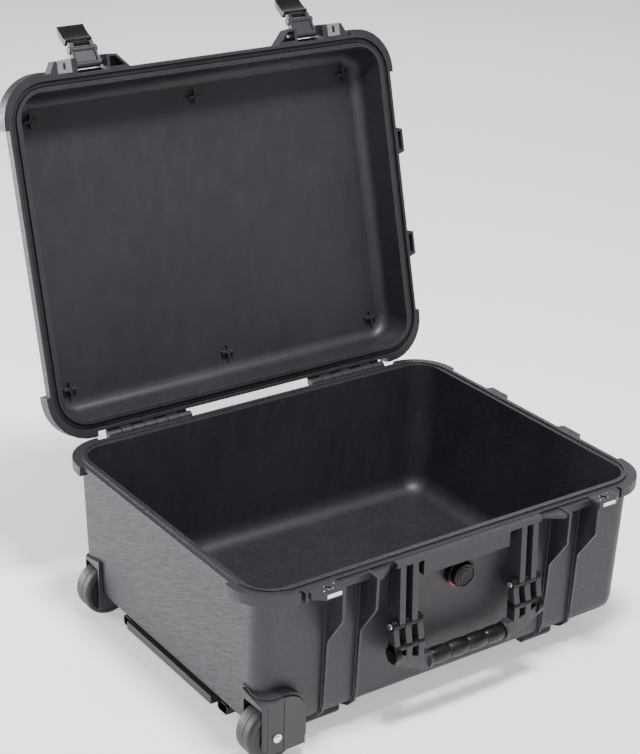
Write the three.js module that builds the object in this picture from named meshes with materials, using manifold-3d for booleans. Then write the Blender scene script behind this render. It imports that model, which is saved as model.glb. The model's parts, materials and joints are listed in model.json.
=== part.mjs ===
// Wheeled hard equipment case with an open lid, two draw latches, fold-down
// handles, a pull-out trolley handle, corner wheels and a pressure valve.
// Millimetres, +X to the right, +Y to the back, +Z up. The origin is on the ground
// under the middle of the case.
import * as THREE from "three";
import { mergeVertices } from "three/addons/utils/BufferGeometryUtils.js";
import Module from "manifold-3d";

const wasm = await Module();
wasm.setup();

// ---- driving dimensions ---------------------------------------------------
const GAP = 0.3;                 // clearance between touching pieces
const RIM_Z = 207;               // height of the plane where lid and base meet
const RIM_X = 276;               // half size of the rim flange
const RIM_Y = 214.4;
const RIM_R = 50;                // corner radius of the rim flange
const BAND = 5;                  // how far the corner bands stand proud of the rim
const BASE_BAND_H = 12;          // height of a corner band on the base
const LID_BAND_H = 19;           // and on the lid
const CASE_H = 265;              // closed height
const SIDE_END = 160;            // corner bands end here on the short sides
const FRONT_END_BASE = 225.4;      // and here on the long sides
const FRONT_END_LID = 220;

const BODY_X = 265;              // base walls just under the rim
const BODY_Y = 202;
const BODY_R = 22;
const BODY_Z = 23.5;             // underside of the base shell
const BODY_EDGE = 18;            // radius of its bottom edge
const BODY_DRAFT = 5;            // how much each wall leans in towards the bottom
const CAVITY_X = 262;            // inside of the base at the rim
const CAVITY_Y = 199.2;
const CAVITY_R = 30;
const CAVITY_EDGE = 20;
const FLOOR_Z = 26.2;

const LID_X = 264;               // lid walls above the rim
const LID_Y = 203.5;
const LID_R = 40;
const LID_TOP = 261;
const LID_FLOOR = 253;           // inside face of the lid's top
const LID_CAVITY_X = 260;
const LID_CAVITY_Y = 199;
const SEAL_X = 269;              // middle line of the seal groove
const SEAL_Y = 207;

const HINGE_Y = 222.3;           // lid hinge axis
const HINGE_Z = 205;
const LID_OPEN = 104.3;          // how far the lid is opened, degrees

const HINGE_IN = 93;             // each hinge starts here
const KNUCKLE_PITCH = 16.4;      // and has seven knuckles
const HINGE_OUT = HINGE_IN + 7 * KNUCKLE_PITCH - 0.8;
const LATCH_X = 157;             // middle of each latch
const SLOT_IN = 137;             // inner faces of the fins beside a latch
const SLOT_OUT = 177.3;
const FIN = 3.4;                 // thickness of a fin
const LATCH_PIVOT = [-223, RIM_Z + 15];
const LATCH_BAR = [-241, RIM_Z + 22];
const LEVER_PIVOT = [-248, RIM_Z + 25];

const WHEEL_X = -247.5;          // wheel centre
const WHEEL_Y = { front: -193, rear: 169 };
const WHEEL_Z = 33;
const WHEEL_RADIUS = 32.5;
const WHEEL_W = 29;
const WHEEL_INSET = 21;          // wheel centre to the inner face of its housing

const TUBE_Y = 107;              // trolley tubes
const TUBE_Z = 13;
const VALVE = [0, 157];          // middle of the pressure valve
const TRAY_TOP = BODY_Z - 0.4;   // top of everything fastened under the base

const PADLOCK = [193.4, -224];   // middle of each padlock hole

// ---- materials --------------------------------------------------------------
const look = (color, roughness, metalness = 0) =>
  new THREE.MeshStandardMaterial({ color, roughness, metalness });
const SHELL = () => look(0x2a2a2c, 0.6);
const MOULDED = () => look(0x303033, 0.55);
const RUBBER = () => look(0x1b1b1c, 0.8);
const STEEL = () => look(0xb9bbbd, 0.35, 1);
const DARK_STEEL = () => look(0x3c3d40, 0.4, 1);
const TUBE = () => look(0x28282a, 0.4, 1);
const RED = () => look(0xb5202c, 0.5);

// ---- solids -----------------------------------------------------------------
/** Turns a closed three.js geometry into a manifold solid. */
function solid(geometry) {
  const bare = geometry.index ? geometry.toNonIndexed() : geometry.clone();
  bare.deleteAttribute("normal");
  bare.deleteAttribute("uv");
  const merged = mergeVertices(bare, 1e-4);
  return new wasm.Manifold(new wasm.Mesh({
    numProp: 3,
    vertProperties: new Float32Array(merged.attributes.position.array),
    triVerts: new Uint32Array(merged.index.array),
  }));
}

/** Makes a named mesh from a solid. */
function piece(name, body, material) {
  const result = body.getMesh();
  const geometry = new THREE.BufferGeometry();
  geometry.setAttribute("position", new THREE.BufferAttribute(new Float32Array(result.vertProperties), 3));
  geometry.setIndex(new THREE.BufferAttribute(new Uint32Array(result.triVerts), 1));
  geometry.computeVertexNormals();
  const mesh = new THREE.Mesh(geometry, material);
  mesh.name = name;
  return mesh;
}

const join = (...bodies) => bodies.flat().reduce((a, b) => a.add(b));
const cut = (body, ...tools) => tools.flat().reduce((a, b) => a.subtract(b), body);

/** Box between two corners, given in any order. */
function block(x0, x1, y0, y1, z0, z1) {
  const box = new THREE.BoxGeometry(Math.abs(x1 - x0), Math.abs(y1 - y0), Math.abs(z1 - z0));
  box.translate((x0 + x1) / 2, (y0 + y1) / 2, (z0 + z1) / 2);
  return solid(box);
}

/** Round bar along an axis: "x", "y" or "z". The centre is given in the other two. */
function rod(axis, centre, radius, from, to, sides = 20) {
  const bar = new THREE.CylinderGeometry(radius, radius, Math.abs(to - from), sides);
  const middle = (from + to) / 2;
  if (axis === "x") bar.rotateZ(-Math.PI / 2).translate(middle, centre[0], centre[1]);
  if (axis === "y") bar.translate(centre[0], middle, centre[1]);
  if (axis === "z") bar.rotateX(Math.PI / 2).translate(centre[0], centre[1], middle);
  return solid(bar);
}

/** Washer or sleeve along an axis. */
function sleeve(axis, centre, outer, inner, a, b, sides = 24) {
  const over = Math.sign(b - a);
  return cut(rod(axis, centre, outer, a, b, sides), rod(axis, centre, inner, a - over, b + over, sides));
}

/** Outline from a list of points. */
const outline = (points) => new THREE.Shape(points.map(([u, v]) => new THREE.Vector2(u, v)));

/** Rectangle with round corners about the origin. */
function roundRect(hx, hy, r) {
  const shape = new THREE.Shape();
  shape.absarc(hx - r, hy - r, r, 0, Math.PI / 2);
  shape.absarc(-hx + r, hy - r, r, Math.PI / 2, Math.PI);
  shape.absarc(-hx + r, -hy + r, r, Math.PI, 1.5 * Math.PI);
  shape.absarc(hx - r, -hy + r, r, 1.5 * Math.PI, 2 * Math.PI);
  shape.closePath();
  return shape;
}

/** Outline pushed along X, Y or Z. It is drawn in (y, z), (x, z) or (x, y). */
function prism(axis, shape, a, b, curveSegments = 4) {
  const [from, to] = [Math.min(a, b), Math.max(a, b)];
  const body = new THREE.ExtrudeGeometry(shape, { depth: to - from, bevelEnabled: false, curveSegments });
  const [X, Y, Z] = [new THREE.Vector3(1, 0, 0), new THREE.Vector3(0, 1, 0), new THREE.Vector3(0, 0, 1)];
  const turn = new THREE.Matrix4();
  if (axis === "x") turn.makeBasis(Y, Z, X).setPosition(from, 0, 0);
  if (axis === "y") turn.makeBasis(X, Z, Y.clone().negate()).setPosition(0, to, 0);
  if (axis === "z") turn.setPosition(0, 0, from);
  return solid(body.applyMatrix4(turn));
}

/** Ring between two rounded rectangles. */
function ring(hx, hy, r, width, z0, z1) {
  const hole = prism("z", roundRect(hx - width, hy - width, r - width), z0 - 1, z1 + 1);
  return cut(prism("z", roundRect(hx, hy, r), z0, z1), hole);
}

/**
 * Tub-shaped block: round vertical corners, a round edge at one end and walls that
 * lean in by `draft` towards that end. It is cut off flat at the other end.
 */
function tub({ hx, hy, r, edge, draft, end, open }) {
  const length = Math.abs(open - end);
  const body = new THREE.ExtrudeGeometry(roundRect(hx, hy, r), {
    depth: length, bevelThickness: edge, bevelSize: edge, bevelOffset: -edge,
    bevelSegments: 3, curveSegments: 4,
  });
  const up = open > end ? 1 : -1;
  body.translate(0, 0, edge);
  const at = body.attributes.position;
  for (let i = 0; i < at.count; i++) {
    const lean = draft * (1 - at.getZ(i) / length);
    at.setX(i, at.getX(i) - Math.sign(at.getX(i)) * lean);
    at.setY(i, at.getY(i) - Math.sign(at.getY(i)) * lean);
  }
  if (up < 0) body.rotateX(Math.PI);
  body.translate(0, 0, end);
  const [low, high] = up > 0 ? [open, open + 3 * edge] : [open - 3 * edge, open];
  return cut(solid(body), block(-hx - 9, hx + 9, -hy - 9, hy + 9, low, high));
}

const SIDES = [["left", -1], ["right", 1]];
const ENDS = [["front", -1], ["rear", 1]];
const CORNERS = [[-1, -1], [1, -1], [-1, 1], [1, 1]];

/** Block given by its distance from the middle plane, on the left or right. */
const sideBlock = (s, x0, x1, y0, y1, z0, z1) => block(s * x0, s * x1, y0, y1, z0, z1);

/** Block given by its distance from the middle plane, at the front or rear. */
const endBlock = (s, x0, x1, y0, y1, z0, z1) => block(x0, x1, s * y0, s * y1, z0, z1);

/** Outline in (x, y) mirrored to the left or right and pushed along Z. */
const sidePrism = (s, points, z0, z1) =>
  prism("z", outline(s > 0 ? points : points.map(([x, y]) => [-x, y]).reverse()), z0, z1);

/** Fin in a plane of constant x, drawn in (y, z). */
const fin = (s, points, x0, x1) => prism("x", outline(points), s * x0, s * x1);

/** Corner bands: a flange plate and a thin skirt round each corner. */
function cornerBands(plateZ0, plateZ1, skirtZ0, skirtZ1, frontEnd) {
  const [hx, hy, r] = [RIM_X + BAND, RIM_Y + BAND + 1.6, RIM_R + BAND];
  const band = join(
    ring(hx, hy, r, 18, plateZ0, plateZ1),
    ring(hx, hy, r, 3.5, skirtZ0, skirtZ1),
  );
  const [z0, z1] = [Math.min(plateZ0, skirtZ0), Math.max(plateZ1, skirtZ1)];
  return CORNERS.map(([sx, sy]) => {
    const zone = block(sx * frontEnd, sx * 300, sy * SIDE_END, sy * 240, z0 - 1, z1 + 1);
    const wallFront = block(sx * frontEnd, sx * (frontEnd + FIN), sy * (BODY_Y - 2), sy * (hy - 1), z0, z1);
    const wallSide = block(sx * (BODY_X - 6), sx * (hx - 1), sy * SIDE_END, sy * (SIDE_END + FIN), z0, z1);
    return join(band.intersect(zone), wallFront, wallSide);
  });
}

// ---- carry handle (front and right end share it) -------------------------------
// The handle is drawn as if on the front wall: outwards is -Y, its length is along X.
const KNUCKLES = [[64.5, 72.6], [81, 89.4], [97.8, 105.2]];
const WEBS = [[73, 80.6], [89.8, 97.4]];

const handleSpec = {
  front: { wall: -197, pin: [-220, 128], bar: [-223, 73], grip: 10, elbow: 10.5, squeeze: 1 },
  side: { wall: -260, pin: [-275, 128], bar: [-276.4, 78], grip: 8.6, elbow: 8.8, squeeze: 0.72 },
};

const spanOf = (spec, [from, to]) => [from * spec.squeeze, to * spec.squeeze];

/** Holes for the two pivot pins. */
const handleBores = (spec) =>
  SIDES.map(([, s]) => rod("x", spec.pin, 2.8, s * 58 * spec.squeeze, s * 112 * spec.squeeze, 10));

/** Webs of the base shell that carry one handle. */
function handleWebs(spec) {
  const [py, pz] = spec.pin;
  const profile = [
    [spec.wall, RIM_Z - 4], [py - 2.5, RIM_Z - 4], [py - 5.5, pz + 3], [py - 4.2, pz - 3.4],
    [py, pz - 5.4], [spec.wall, pz - 14],
  ];
  const webs = SIDES.flatMap(([, s]) => WEBS.map((w) => fin(s, profile, ...spanOf(spec, w))));
  return cut(join(webs), handleBores(spec));
}

/** The swinging frame: knuckles, ladder arms, round elbows and slanted struts to the grip. */
function handleFrame(spec) {
  const [py, pz] = spec.pin;
  const [by, bz] = spec.bar;
  const wide = (x) => x * spec.squeeze;
  const elbow = [by - 0.5, bz + 21];
  const [front, back] = [by - spec.elbow * 0.66, by + spec.elbow * 0.66];
  const rib = [[py + 4.4, pz], [py - 4.4, pz], [front, elbow[1] + 8], [front, bz - 14], [back, bz - 14],
    [back, elbow[1] + 8]];
  const parts = [rod("x", spec.bar, 5.4, wide(-56), wide(56), 12)];
  for (const [, s] of SIDES) {
    for (const k of KNUCKLES) {
      const [a, b] = spanOf(spec, k).map((x) => s * x);
      parts.push(rod("x", spec.pin, 5.3, a, b, 10), prism("x", outline(rib), a, b));
    }
    const [a, b] = [s * wide(65), s * wide(105)];
    parts.push(block(a, b, front + 1.2, back - 1, elbow[1] + 4, elbow[1] + 12));
    parts.push(rod("x", elbow, spec.elbow, s * wide(99), s * wide(105.2), 20));
    parts.push(rod("x", spec.bar, spec.grip + 0.8, s * wide(53), s * wide(56.5), 16));
    const strut = [[54, 12], [54, -spec.grip - 0.6], [60, -spec.grip - 0.6], [105.2, 10.5], [105.2, 21],
      [98, 21], [72, 12]].map(([x, z]) => [s * wide(x), bz + z]);
    parts.push(prism("y", outline(s > 0 ? strut : strut.reverse()), front + 0.8, back - 0.8));
  }
  // everything below the slanted line from the elbow to the grip goes
  const below = SIDES.map(([, s]) => {
    const wedge = [[60, -spec.grip - 0.6], [105.2, 10.5], [120, 18], [120, -40], [60, -40]]
      .map(([x, z]) => [s * wide(x), bz + z]);
    return prism("y", outline(s > 0 ? wedge : wedge.reverse()), by - 20, by + 20);
  });
  return cut(join(parts), below, handleBores(spec));
}

/** Rubber sleeve with finger waves on the core bar. */
function handleGrip(spec) {
  const half = 52.6 * spec.squeeze;
  const bore = 5.7;
  const profile = [new THREE.Vector2(bore, -half)];
  const steps = 16;
  for (let i = 0; i <= steps; i++) {
    const t = i / steps;
    const wave = Math.abs(Math.sin(t * Math.PI * 4));
    profile.push(new THREE.Vector2(spec.grip - 2.2 + 2.2 * Math.sqrt(wave), -half + 2 * half * t));
  }
  profile.push(new THREE.Vector2(bore, half), profile[0].clone());
  const sleeveShape = new THREE.LatheGeometry(profile, 12);
  sleeveShape.rotateZ(-Math.PI / 2).translate(0, spec.bar[0], spec.bar[1]);
  return solid(sleeveShape);
}

/** Pivot pin with a flat head at its left end; the other end is flush with the last knuckle. */
function handlePin(spec, s) {
  const [head, tip] = (s < 0 ? [-107.8, -64.9] : [61.8, 104.8]).map((x) => x * spec.squeeze);
  return join(rod("x", spec.pin, 2.4, head, tip, 10), rod("x", spec.pin, 3.6, head, head + 1.6, 12));
}

/** Turns something drawn for the front wall so that it sits on the right end. */
function toRightEnd(body) {
  const shape = piece("turned", body).geometry;
  return solid(shape.applyMatrix4(new THREE.Matrix4().makeRotationZ(Math.PI / 2)));
}

// ---- base -----------------------------------------------------------------------
const HOUSING = { x: -211.2, top: 80.4, roof: 69, round: 25, width: 42, wall: 2.2 };

/** Inner face of a wheel housing; everything in it is measured outwards from here. */
const housingY = (name, s, out) => WHEEL_Y[name] + s * (out - WHEEL_INSET);

/** Half round-topped block in the plane (x, z), open to the left and downwards. */
function archShape(x, top, round) {
  const shape = new THREE.Shape();
  shape.moveTo(-320, -20).lineTo(x, -20).lineTo(x, top - round);
  shape.absarc(x - round, top - round, round, 0, Math.PI / 2);
  return shape.lineTo(-320, top).closePath();
}

/** Space that a wheel housing takes, out to a given width; its roof falls towards the outer corner. */
function wheelSpace(name, s, width, grow) {
  const roofAt = (x, y) => 79.5 + grow + 0.368 * (x + 240) - 0.237 * (s * (y - housingY(name, s, 42.5)));
  const [y0, y1] = [housingY(name, s, -grow), housingY(name, s, width)];
  const above = new THREE.BoxGeometry(130, Math.abs(y1 - y0) + 20, 2).translate(-265, (y0 + y1) / 2, 0);
  const corners = above.attributes.position;
  for (let i = 0; i < corners.count; i++) {
    corners.setZ(i, corners.getZ(i) > 0 ? 160 : roofAt(corners.getX(i), corners.getY(i)));
  }
  const arch = archShape(HOUSING.x + grow, HOUSING.top + grow, HOUSING.round);
  return cut(prism("y", arch, y0, y1), solid(above));
}

/** Cut-outs for the wheels: the front one is open to the front, the rear one stops inside the wall. */
const wheelWells = (rearWidth, grow) =>
  ENDS.map(([name, s]) => wheelSpace(name, s, name === "rear" ? rearWidth : 90, grow));

/** Eyebrow of the base shell over the front wheel housing, level with the housing's outer faces. */
function wheelBrow() {
  const plan = prism("z", roundRect(263.5, 211, 26), 22, 100);
  return wheelSpace("front", -1, 39.5, 2.6).intersect(plan).intersect(block(-300, 0, -240, -160, 22, 100));
}

function hingeKnuckles(lidSide) {
  const parts = [];
  for (const [, s] of SIDES) {
    for (let i = 0; i < 7; i++) {
      if ((i % 2 === 1) !== lidSide) continue;
      const start = HINGE_IN + i * KNUCKLE_PITCH;
      const [a, b] = [s * start, s * (start + KNUCKLE_PITCH - 0.8)];
      const [y, z] = [HINGE_Y, HINGE_Z];
      const arm = lidSide
        ? [[y - 4.4, z + 3], [y + 3, z + 4.5], [RIM_Y - 2, RIM_Z + 12], [RIM_Y - 2, RIM_Z + 1.4]]
        : [[RIM_Y - 4, RIM_Z - 1.2], [RIM_Y - 4, RIM_Z - 11], [y + 1, z - 5.3], [y, z], [RIM_Y, RIM_Z - 0.6]];
      const knuckle = join(rod("x", [y, z], 5.5, a, b, 12), prism("x", outline(arm), a, b));
      parts.push(cut(knuckle, rod("x", [y, z], 2.6, a - s, b + s, 10)));
    }
  }
  return parts;
}

function baseFins() {
  const profile = [
    [-200, RIM_Z - 1.5], [-233.5, RIM_Z - 1.5], [-232.6, 165], [-207, 127], [-202.4, 45],
    [-198.5, 31], [-188, 20.5], [-172, 14], [-140, 13], [-140, 25], [-178, 25.5], [-196, 50],
  ];
  const lowRib = [[-200, RIM_Z - 6], [-204.8, RIM_Z - 6], [-200.4, 43], [-194.6, 29], [-188, 33], [-195, 50]];
  const parts = [];
  for (const [, s] of SIDES) {
    parts.push(fin(s, profile, SLOT_IN - FIN, SLOT_IN), fin(s, profile, SLOT_OUT, SLOT_OUT + FIN));
    // low rib that each fin stands on
    for (const x of [SLOT_IN - FIN, SLOT_OUT]) parts.push(fin(s, lowRib, x - 2, x + FIN + 2));
    // catch plate that the latch bar pulls against
    parts.push(sideBlock(s, SLOT_IN - 1, SLOT_OUT + 1, -206, -219.5, RIM_Z - 7, RIM_Z - 2.2));
    parts.push(sideBlock(s, SLOT_IN - 1, SLOT_OUT + 1, -219.5, -217, RIM_Z - 10, RIM_Z - 2.2));
    // gusset plate beside the inner fin
    parts.push(sidePrism(s, [[SLOT_IN - 1, -204], [SLOT_IN - 1, -231], [128, -231], [99, -211.5], [99, -204]],
      RIM_Z - 7.5, RIM_Z - 3));
    // padlock tab
    const tab = [[SLOT_OUT + 1, -204], [SLOT_OUT + 1, -235], [203.5, -235], [215.8, -225.4], [215.8, -204]];
    parts.push(sidePrism(s, tab, RIM_Z - 8, RIM_Z - 0.4));
    parts.push(sideBlock(s, 216.8, 220.6, -204, -222.2, RIM_Z - BASE_BAND_H, RIM_Z - 0.2));
    // foot between the two fins
    const foot = [[-167, 0], [-172, 6], [-172, 25], [-118, 25], [-118, 6], [-123, 0]];
    parts.push(fin(s, foot, SLOT_IN - 1, SLOT_OUT + 1));
    parts.push(fin(s, foot.map(([y, z]) => [-y, z]).reverse(), SLOT_IN - 1, SLOT_OUT + 1));
  }
  return parts;
}

/** Hollow gusset on the right end. */
function endGussets(z0, z1, pocketZ0, pocketZ1) {
  return ENDS.map(([, s]) => {
    const wide = [[272, 50], [285.5, 54], [285.5, 84], [272, 88]];
    const narrow = [[277.5, 56.5], [282.5, 57.5], [282.5, 80.5], [277.5, 81.5]];
    const flip = (points) => outline(s > 0 ? points : points.map(([x, y]) => [x, -y]).reverse());
    return cut(prism("z", flip(wide), z0, z1), prism("z", flip(narrow), pocketZ0, pocketZ1));
  });
}

function baseShell() {
  const skin = tub({ hx: BODY_X, hy: BODY_Y, r: BODY_R, edge: BODY_EDGE, draft: BODY_DRAFT, end: BODY_Z,
    open: RIM_Z - 1 });
  const cavity = tub({ hx: CAVITY_X, hy: CAVITY_Y, r: CAVITY_R, edge: CAVITY_EDGE, draft: BODY_DRAFT,
    end: FLOOR_Z, open: RIM_Z + 4 });
  const flange = prism("z", roundRect(RIM_X, RIM_Y, RIM_R), RIM_Z - 5, RIM_Z);
  const tongue = ring(SEAL_X + 1.5, SEAL_Y + 1.5, RIM_R - 5, 3, RIM_Z - 1, RIM_Z + 2.2);
  const front = handleSpec.front;
  const body = join(
    skin, flange, tongue,
    cornerBands(RIM_Z - 4, RIM_Z, RIM_Z - BASE_BAND_H, RIM_Z - 3, FRONT_END_BASE),
    wheelBrow(),
    hingeKnuckles(false),
    baseFins(),
    endGussets(RIM_Z - 21, RIM_Z - 0.5, RIM_Z - 22, RIM_Z - 4),
    handleWebs(front),
    toRightEnd(handleWebs(handleSpec.side)),
    block(-102, 102, -222.5, -200.5, RIM_Z - 7, RIM_Z - 0.8),
    block(-61, 61, -217.3, -199.5, RIM_Z - 29.5, RIM_Z - 1),
    block(262.5, 277.5, -74, 74, RIM_Z - 7, RIM_Z - 0.8),
    ENDS.map(([, s]) => endBlock(s, -190, 240, 123, 128, 13, 25)),
    rod("y", VALVE, 17.5, -203.9, -199.2, 32),
  );
  const wells = wheelWells(44, 0.6);
  const inside = cut(cavity, wheelWells(90, 3.8));
  const valveBore = rod("y", VALVE, 9.4, -210, -190, 20);
  const tab = SIDES.flatMap(([, s]) => [
    sideBlock(s, 183.7, 202.3, -240, -230.7, RIM_Z - 6.6, RIM_Z - 1.4),
    rod("z", [s * PADLOCK[0], PADLOCK[1]], 4, RIM_Z - 20, RIM_Z + 3, 16),
  ]);
  return cut(body, wells, inside, valveBore, tab);
}

// ---- base fittings -----------------------------------------------------------------
const wheelBore = (name, s, radius, from, to) =>
  rod("y", [WHEEL_X, WHEEL_Z], radius, housingY(name, s, from), housingY(name, s, to), 16);

/** Separate wheel housing: a hollow arch with two upright grooves in its outer face. */
function wheelHousing(name, s) {
  const { x, roof, round, width, wall } = HOUSING;
  const plan = outline([[-266, 0], [-264.5, 36], [-261.5, 39.2], [-241, width], [x, width - 0.6], [x, 0]]
    .map(([px, out]) => [px, housingY(name, s, out)]));
  const arch = archShape(x - wall, roof, round - wall);
  const hollow = prism("y", arch, housingY(name, s, 3), housingY(name, s, 36.2));
  const lowCorner = prism("y", outline([[-270, 10], [-252, 10], [-270, 26]]),
    housingY(name, s, 30), housingY(name, s, 50));
  const outside = wheelSpace(name, s, width + 1, 0).intersect(prism("z", plan, 14, 100));
  const grooves = [[-258.8, 39], [-239.4, width - 0.9]].map(([gx, out]) =>
    block(gx - 0.7, gx + 0.7, housingY(name, s, out), housingY(name, s, width + 2), 10, 100));
  const bores = [wheelBore(name, s, 4.3, -5, 50), wheelBore(name, s, 5.5, 40.2, 50)];
  return cut(outside, hollow, lowCorner, grooves, bores);
}

function wheelParts(name, s) {
  const centre = [WHEEL_X, WHEEL_Z];
  const at = (out) => WHEEL_Y[name] + s * out;
  // the tyre is turned: a flat tread with round shoulders
  const half = WHEEL_W / 2;
  const tread = [[19.8, -half + 1], [WHEEL_RADIUS - 5, -half], [WHEEL_RADIUS - 1.4, -half + 1.8],
    [WHEEL_RADIUS, -half + 6], [WHEEL_RADIUS, half - 6], [WHEEL_RADIUS - 1.4, half - 1.8],
    [WHEEL_RADIUS - 5, half], [19.8, half - 1], [19.8, -half + 1]].map(([a, b]) => new THREE.Vector2(a, b));
  const tyre = new THREE.LatheGeometry(tread, 24).translate(WHEEL_X, at(0), WHEEL_Z);
  const hub = cut(
    sleeve("y", centre, 19.4, 4.8, at(-half + 1.5), at(half - 1.5), 24),
    sleeve("y", centre, 16.5, 10.5, at(half - 5), at(half + 2), 12),
    rod("y", centre, 7.8, at(half - 6.7), at(half), 16),
    rod("y", centre, 7.8, at(-half), at(-half + 6.7), 16),
  );
  const bearing = (a, b) => sleeve("y", centre, 7.5, 4.2, at(a), at(b), 16);
  const group = new THREE.Group();
  group.add(
    piece(`wheel_tyre_${name}`, solid(tyre), RUBBER()),
    piece(`wheel_hub_${name}`, hub, MOULDED()),
    piece(`wheel_bearing_outer_${name}`, bearing(half - 6.4, half - 1.8), DARK_STEEL()),
    piece(`wheel_bearing_inner_${name}`, bearing(-half + 1.8, -half + 6.4), DARK_STEEL()),
  );
  return group;
}

const wheelAxle = (name, s) =>
  join(wheelBore(name, s, 4, 0.6, 41), wheelBore(name, s, 5.2, 40.5, 42.6));

function valve() {
  const cap = cut(
    rod("y", VALVE, 15, -215.5, -206.8, 24),
    rod("y", VALVE, 9.3, -212.6, -200, 20),
    sleeve("y", VALVE, 12.4, 6.5, -217, -213.9, 24),
  );
  const stem = cut(rod("y", VALVE, 9, -212.2, -190.5, 20), rod("y", VALVE, 3, -220, -180, 12));
  const nut = cut(rod("y", VALVE, 14, -197.3, -192, 6), rod("y", VALVE, 9.3, -200, -190, 20));
  return [
    piece("valve_body", stem, MOULDED()),
    piece("valve_cap", cap, RUBBER()),
    piece("valve_seal_ring", sleeve("y", VALVE, 16.7, 9.3, -206.5, -204.3, 28), RED()),
    piece("valve_lock_nut", nut, MOULDED()),
  ];
}

function roundTube(name, hy, hz, wall, x0, x1, y) {
  const shape = roundRect(hy, hz, hz * 0.55);
  const hole = roundRect(hy - wall, hz - wall, (hz - wall) * 0.5);
  const tube = cut(prism("x", shape, x0, x1, 2), prism("x", hole, x0 - 1, x1 + 1, 2));
  const mesh = piece(name, tube, TUBE());
  mesh.position.set(0, y, TUBE_Z);
  return mesh;
}

const SCREW = [238, 86];         // tray screws, from the middle

function undersideTray() {
  const plate = prism("z", outline([[-258, -95], [252, -95], [252, 95], [-258, 95]]), 13, TRAY_TOP);
  const pockets = [-190, 130].map((x) => block(x - 30, x + 30, -80, 80, 10, 16.5));
  const skid = block(-40, 40, -30, 30, 0, 16);
  const holes = CORNERS.map(([sx, sy]) =>
    rod("z", [sx * SCREW[0], sy * SCREW[1]], 2.6, 10, TRAY_TOP + 2, 12));
  return cut(join(cut(plate, pockets), skid), holes);
}

function tubeStrap(x) {
  const [half, z] = [121, 4];
  return cut(
    block(x - 10, x + 10, -half, half, z, TRAY_TOP),
    block(x - 11, x + 11, -97.5, 97.5, z + 2.2, 25),
    ENDS.map(([, s]) => endBlock(s, x - 11, x + 11, 96.6, 117.4, z + 2.2, 25)),
    ENDS.map(([, s]) => endBlock(s, x - 11, x + 11, half - 3.2, half + 1, z + 5, 25)),
  );
}

function trayScrew(sx, sy) {
  const centre = [sx * SCREW[0], sy * SCREW[1]];
  return join(rod("z", centre, 2.3, 12, TRAY_TOP - 0.2, 12), rod("z", centre, 4.6, 10.6, 12.7, 16));
}

// ---- trolley handle -----------------------------------------------------------------
function trolleyGrip() {
  const bar = new THREE.ExtrudeGeometry(roundRect(118, 6.4, 5.5), {
    depth: 12, bevelThickness: 2, bevelSize: 2, bevelOffset: -2, bevelSegments: 1, curveSegments: 3,
  });
  bar.translate(0, 0, 2);
  bar.applyMatrix4(new THREE.Matrix4().makeBasis(new THREE.Vector3(0, 1, 0), new THREE.Vector3(0, 0, 1),
    new THREE.Vector3(1, 0, 0)).setPosition(264.2, 0, TUBE_Z));
  return cut(
    solid(bar),
    block(272.2, 290, -22.4, 22.4, TUBE_Z - 3.7, TUBE_Z + 3.7),
    ENDS.map(([, s]) => endBlock(s, 260, 268, TUBE_Y - 8.8, TUBE_Y + 8.8, TUBE_Z - 5.2, TUBE_Z + 5.2)),
  );
}

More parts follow.
